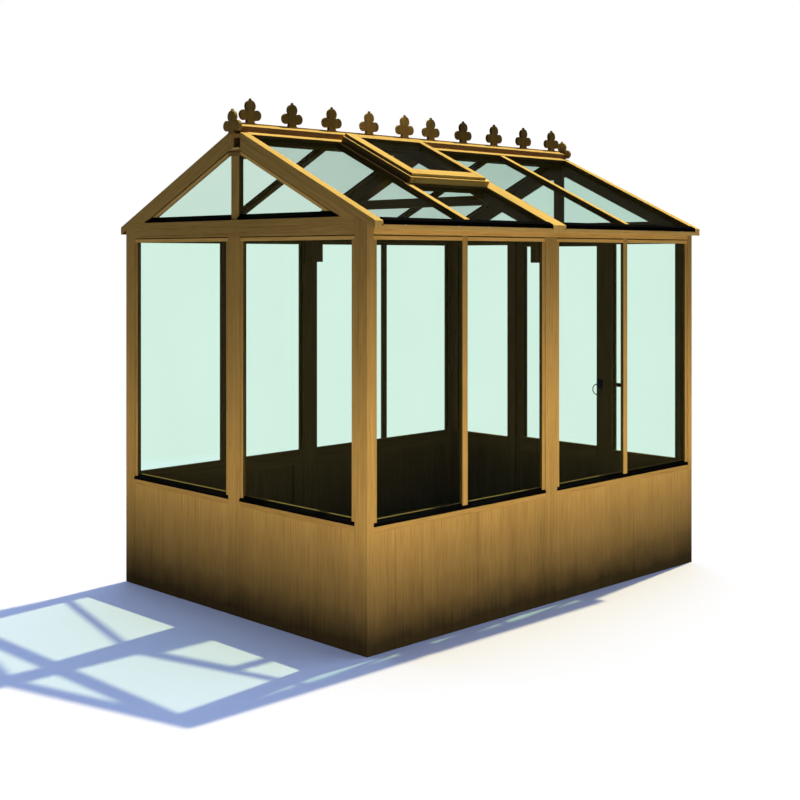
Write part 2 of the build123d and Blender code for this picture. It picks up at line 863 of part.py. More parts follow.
with BuildPart() as truss_legs:
    leg_inner = right(wall_thickness) - leg_depth
    leg_bottom = window_head - leg_drop
    leg_outline = [
        (leg_inner, leg_bottom),
        (right(wall_thickness), leg_bottom),
        (right(wall_thickness), roof_z(right(wall_thickness), truss_underside)),
        (leg_inner, roof_z(leg_inner, truss_underside)),
    ]
    along_y(leg_outline, -truss_width / 2, truss_width / 2)
    mirror(about=Plane.YZ)

# Door leaf: rebated stiles, a top rail, framing rails and a board below, standing proud of the wall
with BuildPart() as door_stiles:
    stile_lip = leaf_half - door_stile
    upright(stile_lip + rebate, leaf_half, leaf(glass_back), leaf(0), door_floor_gap, leaf_top)
    upright(stile_lip, leaf_half, leaf(wall_thickness), leaf(glass_back), door_floor_gap, leaf_top)
    mirror(about=Plane.YZ)

    # The handle's spindle passes through the right stile
    with BuildSketch(Plane.XZ.offset(-leaf_face)) as bore:
        with Locations((handle_x, handle_height)):
            Circle(spindle_radius + fit_gap)
    extrude(bore.sketch, amount=wall_thickness, mode=Mode.SUBTRACT)

door_sill_top = sill_top + door_sill_rise
door_strip_bottom = door_sill_top - strip_height
door_head_rebate = leaf_top - door_top_rail + rebate
with BuildPart() as door_rails:
    upright(
        -stile_lip - rebate, stile_lip + rebate, leaf(glass_back), leaf(0), door_head_rebate, leaf_top
    )
    upright(
        -stile_lip, stile_lip, leaf(wall_thickness), leaf(glass_back),
        leaf_top - door_top_rail, leaf_top,
    )
    upright(
        -stile_lip, stile_lip, leaf(wall_thickness), leaf(glass_back),
        door_sill_top - sill_rail_height, door_sill_top,
    )
    upright(
        -stile_lip, stile_lip, leaf(wall_thickness), leaf(glass_back),
        door_floor_gap, door_floor_gap + door_foot_rail,
    )

with BuildPart() as door_boards:
    upright(
        -stile_lip - rebate, stile_lip + rebate, leaf(glass_back), leaf(0),
        door_floor_gap, door_strip_bottom,
    )

with BuildPart() as door_sill_strip:
    along_x(sill_strip(leaf(0), -1, door_strip_bottom), -stile_lip - rebate, stile_lip + rebate)

with BuildPart() as door_beads:
    pane_beads(
        -stile_lip - rebate, stile_lip + rebate, leaf(0), -1, door_strip_bottom, door_head_rebate
    )

with BuildPart() as door_glass:
    upright(
        -stile_lip - rebate + glass_clearance, stile_lip + rebate - glass_clearance,
        leaf(glass_back), leaf(glass_depth),
        door_strip_bottom + glass_clearance, door_head_rebate - glass_clearance,
    )

# Stop planted inside the head of the doorway
with BuildPart() as door_stops:
    upright(
        -post_inner, post_inner, rear(wall_thickness) - head_stop_thickness, rear(wall_thickness),
        door_head - head_stop_lap, door_head - head_stop_lap + head_stop_height,
    )

# Hinges: the pin stands in the gap beside the leaf, clear of its outer face
pin_x = -post_inner + door_side_gap / 2
pin_y = leaf_face + knuckle_radius
hinge_bottoms = (
    door_floor_gap + hinge_foot_inset,
    leaf_top - hinge_head_inset - hinge_height,
)
knuckle_height = (hinge_height - (knuckles - 1) * knuckle_play) / knuckles
knuckle_step = knuckle_height + knuckle_play


def knuckle(bottom, bore):
    """Hinge knuckle standing at a height, round the pin."""
    with BuildSketch(Plane.XY.offset(bottom)) as ring:
        with Locations((pin_x, pin_y)):
            Circle(knuckle_radius)
            Circle(bore, mode=Mode.SUBTRACT)
    extrude(ring.sketch, amount=knuckle_height)


with BuildPart() as hinge_fixed_leaves:
    for bottom in hinge_bottoms:
        upright(
            pin_x - hinge_leaf, pin_x - door_side_gap / 2, rear(0), rear(0) + hinge_plate,
            bottom, bottom + hinge_height,
        )
        for i in range(0, knuckles, 2):
            knuckle_bottom = bottom + i * knuckle_step
            upright(
                pin_x - knuckle_radius, pin_x - pin_radius, rear(0) + hinge_plate, pin_y,
                knuckle_bottom, knuckle_bottom + knuckle_height,
            )
            knuckle(knuckle_bottom, pin_radius)

with BuildPart() as hinge_pins:
    for bottom in hinge_bottoms:
        with BuildSketch(Plane.XY.offset(bottom)) as pin_section:
            with Locations((pin_x, pin_y)):
                Circle(pin_radius)
        extrude(amount=hinge_height)

with BuildPart() as hinge_door_leaves:
    for bottom in hinge_bottoms:
        upright(
            pin_x + knuckle_radius + knuckle_relief, pin_x + hinge_leaf,
            leaf_face, leaf_face + hinge_plate, bottom, bottom + hinge_height,
        )
        upright(
            pin_x + pin_radius + knuckle_relief, pin_x + knuckle_radius + knuckle_relief,
            leaf_face, leaf_face + hinge_plate,
            bottom + knuckle_step, bottom + knuckle_step + knuckle_height,
        )
        knuckle(bottom + knuckle_step, pin_radius + pin_clearance)

# Ring handles on both faces of the door, on one spindle through the stile
ring_centre = handle_height - ring_radius
with BuildPart() as door_latch:
    for plate_face, ring_y in (
        (leaf_face + plate_thickness, leaf_face + ring_standoff),
        (leaf(wall_thickness), leaf(wall_thickness) - ring_standoff),
    ):
        with BuildSketch(Plane.XZ.offset(-plate_face)) as handle_plate:
            with Locations((leaf_half - plate_edge - plate_width / 2, handle_height + plate_rise)):
                RectangleRounded(plate_width, plate_height, plate_corner)
        extrude(handle_plate.sketch, amount=plate_thickness)
        ring_section = Plane(
            origin=(handle_x + ring_radius, ring_y, ring_centre), x_dir=(1, 0, 0), z_dir=(0, 0, 1)
        )
        with BuildSketch(ring_section) as wire:
            RegularPolygon(ring_wire, ring_sides)
        revolve(wire.sketch, axis=Axis((handle_x, ring_y, ring_centre), (0, 1, 0)))
    spindle_end = leaf_face + ring_standoff + ring_wire
    with BuildSketch(Plane.XZ.offset(-spindle_end)) as spindle:
        with Locations((handle_x, handle_height)):
            Circle(spindle_radius)
    extrude(spindle.sketch, amount=wall_thickness + 2 * (ring_standoff + ring_wire))

    # The latch bar reaches past the door post
    upright(
        handle_x, latch_bar_end, leaf_face + plate_thickness,
        leaf_face + plate_thickness + latch_bar_thickness,
        handle_height - latch_bar_height / 2, handle_height + latch_bar_height / 2,
    )

# Keep on the door post, under the latch bar
with BuildPart() as latch_keep:
    keep_centre = (post_inner + post_outer) / 2
    keep_top = handle_height - latch_bar_height / 2 - keep_gap
    upright(
        keep_centre - keep_width / 2, keep_centre + keep_width / 2, rear(0), rear(0) + hinge_plate,
        keep_top - keep_rise, keep_top,
    )
    upright(
        keep_centre - keep_width / 2, keep_centre + keep_width / 2, rear(0) + hinge_plate,
        rear(0) + keep_reach, keep_top - keep_thickness, keep_top,
    )

pieces = {
    "corner_posts": corner_posts,
    "front_mullion": front_mullion,
    "door_posts": door_posts,
    "side_centre_posts": side_centre_posts,
    "dwarf_boards": dwarf_boards,
    "dwarf_top_rails": dwarf_top_rails,
    "dwarf_framing": dwarf_framing,
    "gable_head_rails": gable_head_rails,
    "raked_rails": raked_rails,
    "king_posts": king_posts,
    "side_head_rails": side_head_rails,
    "side_glazing_bars": side_glazing_bars,
    "sill_strips": sill_strips,
    "gable_beads": gable_beads,
    "side_beads": side_beads,
    "gable_glass": gable_glass,
    "side_glass": side_glass,
    "roof_rafters": roof_rafters,
    "roof_rails": roof_rails,
    "roof_glazing_bars": roof_glazing_bars,
    "eaves_strips": eaves_strips,
    "roof_glass": roof_glass,
    "vent_kerb": vent_kerb,
    "vent_sash": vent_sash,
    "vent_glass": vent_glass,
    "ridge_capping": ridge_capping,
    "crest_boards": crest_boards,
    "ridge_finials": ridge_finials,
    "end_finials": end_finials,
    "truss_rafters": truss_rafters,
    "collar_tie": collar_tie,
    "truss_legs": truss_legs,
    "door_stops": door_stops,
    "hinge_fixed_leaves": hinge_fixed_leaves,
    "hinge_pins": hinge_pins,
    "latch_keep": latch_keep,
    "door_stiles": door_stiles,
    "door_rails": door_rails,
    "door_boards": door_boards,
    "door_sill_strip": door_sill_strip,
    "door_beads": door_beads,
    "door_glass": door_glass,
    "hinge_door_leaves": hinge_door_leaves,
    "door_latch": door_latch,
}
os.makedirs("parts", exist_ok=True)
for label, piece in pieces.items():
    piece.part.label = label
    export_step(piece.part, f"parts/{label}.step")
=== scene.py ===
import math
import random

import bmesh
import bpy
from mathutils import Matrix, Vector


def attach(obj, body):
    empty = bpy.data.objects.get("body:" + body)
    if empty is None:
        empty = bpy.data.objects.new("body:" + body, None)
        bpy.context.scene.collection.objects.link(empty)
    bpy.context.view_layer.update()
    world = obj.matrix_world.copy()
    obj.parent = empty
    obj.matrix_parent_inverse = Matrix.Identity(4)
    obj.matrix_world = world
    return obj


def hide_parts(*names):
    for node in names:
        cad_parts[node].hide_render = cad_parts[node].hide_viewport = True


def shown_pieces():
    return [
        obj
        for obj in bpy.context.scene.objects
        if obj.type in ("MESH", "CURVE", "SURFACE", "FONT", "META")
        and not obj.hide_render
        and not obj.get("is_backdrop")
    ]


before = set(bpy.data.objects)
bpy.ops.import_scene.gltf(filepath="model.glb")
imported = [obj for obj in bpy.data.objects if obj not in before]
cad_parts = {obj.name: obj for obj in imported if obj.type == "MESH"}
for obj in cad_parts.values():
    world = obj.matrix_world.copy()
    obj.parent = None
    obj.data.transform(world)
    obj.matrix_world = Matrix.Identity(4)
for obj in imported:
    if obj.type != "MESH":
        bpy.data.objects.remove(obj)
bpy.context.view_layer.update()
for leftover in ("Cube", "Light", "Camera"):
    if leftover in bpy.data.objects:
        bpy.data.objects.remove(bpy.data.objects[leftover])


# Camera: at eye height off the near corner, level, with the frame shifted down
# instead of the camera being tilted, so that the posts stay upright.
camera_data = bpy.data.cameras.new("camera")
camera_data.sensor_width = 36.0
camera_data.lens = 58.905
camera_data.shift_x = -0.01875
camera_data.shift_y = -0.17829
camera = bpy.data.objects.new("camera", camera_data)
camera.location = (4.9336, -4.9540, 1.6764)
camera.rotation_euler = (math.radians(90), 0, math.radians(45))
bpy.context.scene.collection.objects.link(camera)
bpy.context.scene.camera = camera
bpy.context.scene.view_settings.view_transform = "Standard"


# Light: a sun high behind the door gable, a faint blue sky that is brightest overhead, and three long
# soft lamps low beside the shaded walls, which stand for the light that bright ground throws on them.
# The low lamps light the pieces alone, so that they leave no bright patch on the floor.
def add(tree, kind, sockets=None, **settings):
    """Add a shader node, set its fields, and set or join its sockets."""
    made = tree.nodes.new(kind)
    for field, value in settings.items():
        setattr(made, field, value)
    for key, value in (sockets or {}).items():
        if isinstance(value, bpy.types.NodeSocket):
            tree.links.new(value, made.inputs[key])
        else:
            made.inputs[key].default_value = value
    return made


def seen_directly(tree):
    """A factor of 1 for rays from the camera, a mirror or glass, which see the white background."""
    path = add(tree, "ShaderNodeLightPath")
    either = add(tree, "ShaderNodeMath", {0: path.outputs["Is Camera Ray"], 1: path.outputs["Is Glossy Ray"]},
                 operation="MAXIMUM")
    return add(tree, "ShaderNodeMath", {0: either.outputs[0], 1: path.outputs["Is Transmission Ray"]},
               operation="MAXIMUM").outputs[0]


sun_data = bpy.data.lights.new("sun", "SUN")
sun_data.energy = 6.75
sun_data.color = (1.0, 0.97, 0.85)
sun_data.angle = math.radians(1.1)
sun = bpy.data.objects.new("sun", sun_data)
sun.rotation_euler = Vector((-0.06, 0.555, 1.0)).to_track_quat("Z", "Y").to_euler()
bpy.context.scene.collection.objects.link(sun)

world = bpy.data.worlds.new("sky")
bpy.context.scene.world = world
world.use_nodes = True
world.node_tree.nodes.clear()
sky_way = add(world.node_tree, "ShaderNodeTexCoord")
sky_height = add(world.node_tree, "ShaderNodeSeparateXYZ", {0: sky_way.outputs["Generated"]})
sky_rise = add(world.node_tree, "ShaderNodeMath", {0: sky_height.outputs["Z"], 1: 2.0}, operation="POWER")
sky_level = add(world.node_tree, "ShaderNodeMapRange", {
    "Value": sky_rise.outputs[0], "To Min": 0.5, "To Max": 2.2})
sky_light = add(world.node_tree, "ShaderNodeBackground", {
    "Color": (0.072, 0.086, 0.138, 1), "Strength": sky_level.outputs[0]})
sky_white = add(world.node_tree, "ShaderNodeBackground", {"Color": (1, 1, 1, 1), "Strength": 1.0})
sky_mix = add(world.node_tree, "ShaderNodeMixShader", {
    0: seen_directly(world.node_tree), 1: sky_light.outputs[0], 2: sky_white.outputs[0]})
add(world.node_tree, "ShaderNodeOutputWorld", {"Surface": sky_mix.outputs[0]})

lit_by_lamps = bpy.data.collections.new("lit_by_low_lamps")
for name, place, turn, strength in (
    ("front_low_lamp", (1.25, -1.84, 0.66), 0.0, 7.5),
    ("side_low_lamp", (1.765, -0.45, 0.77), 90.0, 19.8),
    ("far_side_low_lamp", (-1.765, -0.15, 0.76), -90.0, 13.0),
):
    lamp_data = bpy.data.lights.new(name, "AREA")
    lamp_data.shape = "RECTANGLE"
    lamp_data.size = 4.6
    lamp_data.size_y = 0.3
    lamp_data.energy = strength
    lamp_data.color = (1.0, 0.835, 0.76)
    lamp = bpy.data.objects.new(name, lamp_data)
    lamp.location = place
    lamp.rotation_euler = (math.radians(90), 0, math.radians(turn))
    lamp.visible_camera = False
    lamp.visible_glossy = False
    lamp.visible_transmission = False
    lamp.light_linking.receiver_collection = lit_by_lamps
    bpy.context.scene.collection.objects.link(lamp)


# Ground: a plain pale floor, level with the underside of the posts. It looks white where the sun
# falls and keeps the shadow, and it throws little light back at the walls. A wide blue lamp that lights
# the floor alone stands for the open sky, which tints the shadow. Far out the floor is plain white.
floor_mesh = bpy.data.meshes.new("floor")
floor_mesh.from_pydata(
    [(-60, -60, 0), (60, -60, 0), (60, 60, 0), (-60, 60, 0)], [], [(0, 1, 2, 3)])
floor = bpy.data.objects.new("floor", floor_mesh)
floor_material = bpy.data.materials.new("pale_floor")
floor_material.use_nodes = True
floor_tree = floor_material.node_tree
floor_tree.nodes.clear()
floor_pale = add(floor_tree, "ShaderNodeBsdfDiffuse", {"Color": (0.391, 0.357, 0.258, 1)})
floor_lift = add(floor_tree, "ShaderNodeEmission", {"Color": (0.018, 0.014, 0.006, 1), "Strength": 1.0})
floor_seen = add(floor_tree, "ShaderNodeAddShader", {0: floor_pale.outputs[0], 1: floor_lift.outputs[0]})
floor_place = add(floor_tree, "ShaderNodeTexCoord")
floor_reach = add(floor_tree, "ShaderNodeVectorMath", {0: floor_place.outputs["Object"]}, operation="LENGTH")
floor_fade = add(floor_tree, "ShaderNodeMapRange", {
    "Value": floor_reach.outputs["Value"], "From Min": 3.6, "From Max": 4.6})
floor_white = add(floor_tree, "ShaderNodeEmission", {"Color": (1, 1, 1, 1), "Strength": 1.0})
floor_view = add(floor_tree, "ShaderNodeMixShader", {
    0: floor_fade.outputs[0], 1: floor_seen.outputs[0], 2: floor_white.outputs[0]})
floor_bounce = add(floor_tree, "ShaderNodeBsdfDiffuse", {"Color": (0.088, 0.080, 0.066, 1)})
floor_mix = add(floor_tree, "ShaderNodeMixShader", {
    0: seen_directly(floor_tree), 1: floor_bounce.outputs[0], 2: floor_view.outputs[0]})
add(floor_tree, "ShaderNodeOutputMaterial", {"Surface": floor_mix.outputs[0]})
floor_mesh.materials.append(floor_material)
bpy.context.scene.collection.objects.link(floor)
floor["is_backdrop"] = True

open_sky_data = bpy.data.lights.new("open_sky", "SUN")
open_sky_data.energy = 11.2
open_sky_data.color = (0.25, 0.378, 1.0)
open_sky_data.angle = math.radians(110)
open_sky = bpy.data.objects.new("open_sky", open_sky_data)
open_sky.rotation_euler = Vector((-0.45, 0.6, 1.0)).to_track_quat("Z", "Y").to_euler()
open_sky.visible_glossy = False
shaded_ground = bpy.data.collections.new("shaded_ground")
shaded_ground.objects.link(floor)
open_sky.light_linking.receiver_collection = shaded_ground
bpy.context.scene.collection.objects.link(open_sky)


# Corner posts: softwood planed all round and rebated for the glass, stained golden brown outside.
# Each stands on the ground and carries the ends of the walls. Painted shade darkens the inner faces,
# and a bluish painted shade darkens the foot towards the ground.
chance = random.Random(41)
side_face = 0.915
gable_face = 1.220
door_face = 1.230
roof_apex = 2.2823
roof_pitch = math.radians(25)
rebate_depth = 0.0155


def timber_finish(name, outer_tone=1.0, shade_tone=(1.0, 1.0, 1.0)):
    """Stained softwood: fibres and growth lines along the grain, with painted shade inside and near the
    ground.
    """
    material = bpy.data.materials.new(name)
    material.use_nodes = True
    tree = material.node_tree
    tree.nodes.clear()
    grain = add(tree, "ShaderNodeAttribute", attribute_name="grain")
    painted_shade = add(tree, "ShaderNodeAttribute", attribute_name="painted_shade")
    tone = add(tree, "ShaderNodeAttribute", attribute_name="tone")
    place = add(tree, "ShaderNodeTexCoord")

    fibre_place = add(tree, "ShaderNodeMapping", {0: grain.outputs["Vector"], "Scale": (7.0, 420.0, 420.0)})
    fibre = add(tree, "ShaderNodeTexNoise", {
        "Vector": fibre_place.outputs[0], "Scale": 1.0, "Detail": 3.0, "Roughness": 0.6})
    line_place = add(tree, "ShaderNodeMapping", {0: grain.outputs["Vector"], "Scale": (1.1, 75.0, 75.0)})
    line = add(tree, "ShaderNodeTexNoise", {
        "Vector": line_place.outputs[0], "Scale": 1.0, "Detail": 2.0, "Roughness": 0.5, "Distortion": 0.4})
    cloud_place = add(tree, "ShaderNodeMapping", {0: grain.outputs["Vector"], "Scale": (1.5, 9.0, 9.0)})
    cloud = add(tree, "ShaderNodeTexNoise", {"Vector": cloud_place.outputs[0], "Scale": 1.0, "Detail": 2.0})

    fibre_part = add(tree, "ShaderNodeMath", {0: fibre.outputs[0], 1: 0.72}, operation="MULTIPLY")
    figure = add(tree, "ShaderNodeMath", {0: line.outputs[0], 1: 0.28, 2: fibre_part.outputs[0]},
                 operation="MULTIPLY_ADD")
    dark_line, light_line = 0.30, 0.66
    stain_and_shade = add(tree, "ShaderNodeValToRGB", {0: figure.outputs[0]})
    stain_and_shade.color_ramp.elements[0].position = dark_line
    stain_and_shade.color_ramp.elements[0].color = [outer_tone * part for part in (0.319, 0.190, 0.040)] + [1]
    stain_and_shade.color_ramp.elements[1].position = light_line
    stain_and_shade.color_ramp.elements[1].color = [outer_tone * part for part in (0.638, 0.419, 0.113)] + [1]
    stain_and_shade.color_ramp.elements.new(0.47).color = [outer_tone * part for part in (0.532, 0.338, 0.084)] + [1]

    # Painted shade: a dark copy of the stain, mixed in by how much painted shade each face carries.
    shade_ramp = add(tree, "ShaderNodeValToRGB", {0: figure.outputs[0]})
    shade_dark = [part * level for part, level in zip((0.045, 0.028, 0.0072), shade_tone)]
    shade_light = [part * level for part, level in zip((0.128, 0.081, 0.026), shade_tone)]
    shade_ramp.color_ramp.elements[0].position = dark_line
    shade_ramp.color_ramp.elements[0].color = shade_dark + [1]
    shade_ramp.color_ramp.elements[1].position = light_line
    shade_ramp.color_ramp.elements[1].color = shade_light + [1]
    shaded_stain = add(tree, "ShaderNodeMix", {
        "Factor": painted_shade.outputs["Fac"], "A": stain_and_shade.outputs[0], "B": shade_ramp.outputs[0]}, data_type="RGBA")

    shade = add(tree, "ShaderNodeMapRange", {
        "Value": cloud.outputs[0], "From Min": 0.3, "From Max": 0.7, "To Min": 0.92, "To Max": 1.06})
    member = add(tree, "ShaderNodeMath", {0: shade.outputs[0], 1: tone.outputs["Fac"]}, operation="MULTIPLY")

    # Painted shade near the ground: the colour darkens and turns bluish towards the foot.
    height = add(tree, "ShaderNodeSeparateXYZ", {0: place.outputs["Object"]})
    uneven = add(tree, "ShaderNodeTexNoise", {"Vector": place.outputs["Object"], "Scale": 9.0, "Detail": 4.0})
    rise = add(tree, "ShaderNodeMath", {0: uneven.outputs[0], 1: -0.08, 2: height.outputs["Z"]},
               operation="MULTIPLY_ADD")
    foot_shade_ramp = add(tree, "ShaderNodeValToRGB", {0: rise.outputs[0]})
    foot_shade_ramp.color_ramp.elements[0].position = 0.0
    foot_shade_ramp.color_ramp.elements[0].color = (0.125, 0.145, 0.22, 1)
    foot_shade_ramp.color_ramp.elements[1].position = 0.47
    foot_shade_ramp.color_ramp.elements[1].color = (1, 1, 1, 1)
    for level, foot_shade in ((0.05, (0.235, 0.262, 0.35, 1)), (0.15, (0.51, 0.535, 0.63, 1)),
                        (0.25, (0.69, 0.71, 0.78, 1)), (0.35, (0.82, 0.83, 0.88, 1))):
        foot_shade_ramp.color_ramp.elements.new(level).color = foot_shade
    shaded_at_foot = add(tree, "ShaderNodeMix", {"Factor": 1.0, "A": shaded_stain.outputs[2], "B": foot_shade_ramp.outputs[0]},
                 data_type="RGBA", blend_type="MULTIPLY")
    toned = add(tree, "ShaderNodeVectorMath", {0: shaded_at_foot.outputs[2], "Scale": member.outputs[0]},
                operation="SCALE")
    final = add(tree, "ShaderNodeVectorMath", {0: toned.outputs[0], 1: (0.97, 0.80, 0.50)},
                operation="MINIMUM")

    rough = add(tree, "ShaderNodeMapRange", {
        "Value": figure.outputs[0], "From Min": 0.3, "From Max": 0.7, "To Min": 0.72, "To Max": 0.52})
    bump = add(tree, "ShaderNodeBump", {
        "Height": figure.outputs[0], "Strength": 0.35, "Distance": 0.0012})
    surface = add(tree, "ShaderNodeBsdfPrincipled", {
        "Base Color": final.outputs[0], "Roughness": rough.outputs[0], "Normal": bump.outputs[0],
        "Specular IOR Level": 0.0})
    add(tree, "ShaderNodeOutputMaterial", {"Surface": surface.outputs[0]})
    return material


def members_of(solid):
    """The separate members in a mesh, each as a list of its corners."""
    waiting = set(solid.verts)
    members = []
    for first in solid.verts:
        if first not in waiting:
            continue
        waiting.remove(first)
        member, edge = [first], [first]
        while edge:
            corner = edge.pop()
            for link in corner.link_edges:
                other = link.other_vert(corner)
                if other in waiting:
                    waiting.remove(other)
                    member.append(other)
                    edge.append(other)
        members.append(member)
    return members


def set_by_grain(solid, along, painted_shade, end_wall, joints, level_highlight=1.0, tones=None, hollow=None):
    """Store on each member its grain direction and tone, with painted light on some faces, and its painted
    shade.
    """
    grain = solid.verts.layers.float_vector.new("grain")
    tone = solid.faces.layers.float.new("tone")
    for rank, member in enumerate(sorted(members_of(solid), key=lambda member: member[0].co.y)):
        if along is None:
            longest = max((link for corner in member for link in corner.link_edges),
                          key=lambda link: round(link.calc_length(), 5))
            way = (longest.verts[1].co - longest.verts[0].co).normalized()
        else:
            way = Vector(along).normalized()
        side = way.cross(Vector((0, 0, 1)) if abs(way.z) < 0.9 else Vector((0, 1, 0))).normalized()
        up = side.cross(way)
        shift = Vector([chance.uniform(-40, 40) for _ in range(3)])
        # Level and sloping members are multiplied by the level factor, a painted highlight where it is above
        # 1.
        member_tone = chance.uniform(0.97, 1.03) * (1.0 if abs(way.z) > 0.9 else level_highlight)
        if tones:
            member_tone = tones[rank]
        for corner in member:
            place = corner.co
            corner[grain] = Vector((place.dot(way), place.dot(side), place.dot(up))) + shift
        for face in {face for corner in member for face in corner.link_faces}:
            middle = face.calc_center_median()
            # Painted light: faces turned out at the eaves and the top of the vent lip are painted lighter.
            at_eaves = middle.x * face.normal.x > 0.6 and middle.z > 1.79
            on_vent_lip = 0.029 < -depth_under_roof(middle) < 0.033 and face.normal.z > 0.8
            face[tone] = member_tone * (1.78 if at_eaves else 1.5 if on_vent_lip else 1.0)
    for face in solid.faces:
        face[painted_shade] = max(face[painted_shade], darkness(face, end_wall, joints))
        # Faces turned to the hollow carry the full painted shade.
        if hollow and face.normal.dot((Vector(hollow) - face.calc_center_median()).normalized()) > 0.3:
            face[painted_shade] = 1.0


def depth_under_roof(place):
    """How far a place lies under the plane of the roof, square to it."""
    return (roof_apex - abs(place.x) * math.tan(roof_pitch) - place.z) * math.cos(roof_pitch)


def darkness(face, end_wall, joints):
    """How much painted shade a face carries: all inside the house, less in the joints, slots and shaded
    sides.
    """
    middle = face.calc_center_median()
    side_depth = side_face - abs(middle.x)
    end_depth = end_wall - abs(middle.y)
    wall_depth = min(side_depth, end_depth)
    roof_depth = depth_under_roof(middle)
    down_slope = Vector((math.copysign(math.cos(roof_pitch), middle.x), 0, -math.sin(roof_pitch)))
    if side_depth < end_depth:
        outward = math.copysign(face.normal.x, face.normal.x * middle.x)
    else:
        outward = math.copysign(face.normal.y, face.normal.y * middle.y)

    turned_in = outward < -0.5 and wall_depth > 0.008
    in_joint = joints and abs(outward) < 0.2 and 0.006 < wall_depth < 0.016
    in_apex_slot = 0.0015 < end_depth < 0.07 and abs(middle.x) < 0.05 and middle.z > 2.1
    on_bar_side = roof_depth > -0.05 and middle.z > 1.85 and abs(face.normal.y) > 0.7 and abs(middle.y) < 1.15
    across_slope = middle.z > 1.9 and roof_depth > 0.001 and abs(face.normal.dot(down_slope)) > 0.85
    on_inner_sill = wall_depth > rebate_depth and 0.55 < middle.z < 0.6 and face.normal.z > 0.8
    outside = wall_depth < rebate_depth or roof_depth < rebate_depth

    # Painted shade: full inside the house and across the slope, a little less in the joints, the apex slot,
    # on the sides of the roof bars and on the inner sill. Faces that look up keep the outside colour, as if
    # lit.
    if turned_in:
        return 1.0
    if in_joint:
        return 0.97
    if in_apex_slot:
        return 0.75 if middle.x < 0.02 or end_depth > rebate_depth else 0.0
    if on_bar_side:
        return 1.0 if roof_depth > 0 else 0.85
    if across_slope:
        return 1.0
    if on_inner_sill:
        return 0.85
    return 0.0 if outside or face.normal.z > 0.8 else 1.0


def quirk_edges(solid, end_wall, panes):
    """The front edge of each head or raked bead on the side away from its pane."""
    chosen = []
    for member in members_of(solid):
        centre = sum((corner.co for corner in member), Vector()) / len(member)
        pane = min(panes, key=lambda spot: max(low - place if place < low else place - high
                                               for low, place, high in zip(spot[0], centre, spot[1])))[2]
        on_side = side_face - abs(centre.x) < end_wall - abs(centre.y)
        across = Vector((1, 0, 0)) if on_side else Vector((0, 1, 0))
        out = math.copysign(1.0, centre.dot(across))
        front = max(corner.co.dot(across) * out for corner in member)
        for link in dict.fromkeys(link for corner in member for link in corner.link_edges):
            ends = [corner.co for corner in link.verts]
            if link.calc_length() < 0.03 or any(front - place.dot(across) * out > 1e-4 for place in ends):
                continue
            way = (ends[1] - ends[0]).normalized()
            if abs(way.z) > 0.9:
                continue
            inward = pane - centre
            inward -= way * inward.dot(way) + across * inward.dot(across)
            if ((ends[0] + ends[1]) / 2 - centre).dot(inward) < 0:
                chosen.append(link)
    return chosen


def timber(node, finish, body="house", arris=0.0015, along=None, joints=False, quirk=0.0,
           panes=None, cuts=(), level_highlight=1.0, tones=None, hollow=None, dark_sides=0.0):
    """Dress a timber node: ease its arrises, lay the grain along each member and stand in for it."""
    end_wall = door_face if body == "door" else gable_face
    solid = bmesh.new()
    solid.from_mesh(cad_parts[node].data)
    bmesh.ops.remove_doubles(solid, verts=solid.verts, dist=1e-5)
    bmesh.ops.dissolve_limit(solid, angle_limit=math.radians(1), verts=solid.verts, edges=solid.edges)
    for level in cuts:
        everything = solid.verts[:] + solid.edges[:] + solid.faces[:]
        cut = bmesh.ops.bisect_plane(solid, geom=everything, plane_co=(0, 0, level), plane_no=(0, 0, 1))
        seam = [part for part in cut["geom_cut"] if isinstance(part, bmesh.types.BMEdge)]
        bmesh.ops.split_edges(solid, edges=seam)
        bmesh.ops.holes_fill(solid, edges=[link for link in solid.edges if link.is_boundary])
    painted_shade = solid.faces.layers.float.new("painted_shade")
    if quirk:
        cut = bmesh.ops.bevel(solid, geom=quirk_edges(solid, end_wall, panes), offset=quirk,
                              offset_type="OFFSET", segments=1, profile=0.5, affect="EDGES",
                              clamp_overlap=True, material=-1)
        # The bevelled quirk faces carry painted shade.
        for face in cut["faces"]:
            face[painted_shade] = 0.9
    if arris:
        sharp = [edge for edge in solid.edges
                 if len(edge.link_faces) == 2 and edge.calc_face_angle() > math.radians(50)]
        bmesh.ops.bevel(solid, geom=sharp, offset=arris, offset_type="OFFSET", segments=2, profile=0.5,
                        affect="EDGES", clamp_overlap=True, material=-1)
    solid.normal_update()
    for face in solid.faces:
        # Faces turned to either side carry painted shade, as on the ridge capping's sides.
        if dark_sides and abs(face.normal.x) > 0.7:
            face[painted_shade] = dark_sides
    set_by_grain(solid, along, painted_shade, end_wall, joints, level_highlight, tones, hollow)
    mesh = bpy.data.meshes.new(node + "_timber")
    solid.to_mesh(mesh)
    solid.free()
    mesh.materials.append(finish)
    piece = bpy.data.objects.new(node + "_timber", mesh)
    bpy.context.scene.collection.objects.link(piece)
    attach(piece, body)
    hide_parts(node)


stained_timber = timber_finish("stained_timber")
timber("corner_posts", stained_timber)


# Mullion, door posts and centre posts: one rebated post in the middle of each wall and one each
# side of the doorway, of the same stained softwood, housed into the head rails.
timber("front_mullion", stained_timber)
timber("door_posts", stained_timber)
timber("side_centre_posts", stained_timber)


# Dwarf walls: upright boards flush with the posts under a narrow top rail, nailed to a frame of
# rails and stiles that shows inside the house.
timber("dwarf_boards", stained_timber, along=(0, 0, 1))
timber("dwarf_top_rails", stained_timber)
timber("dwarf_framing", stained_timber, cuts=(0.0902, 0.4798))


# Head rails: the horizontal timbers over the windows and doorway, tenoned between the posts.
# Their rebate faces beside the glass carry painted shade.
timber("gable_head_rails", stained_timber, joints=True)
timber("side_head_rails", stained_timber, joints=True)


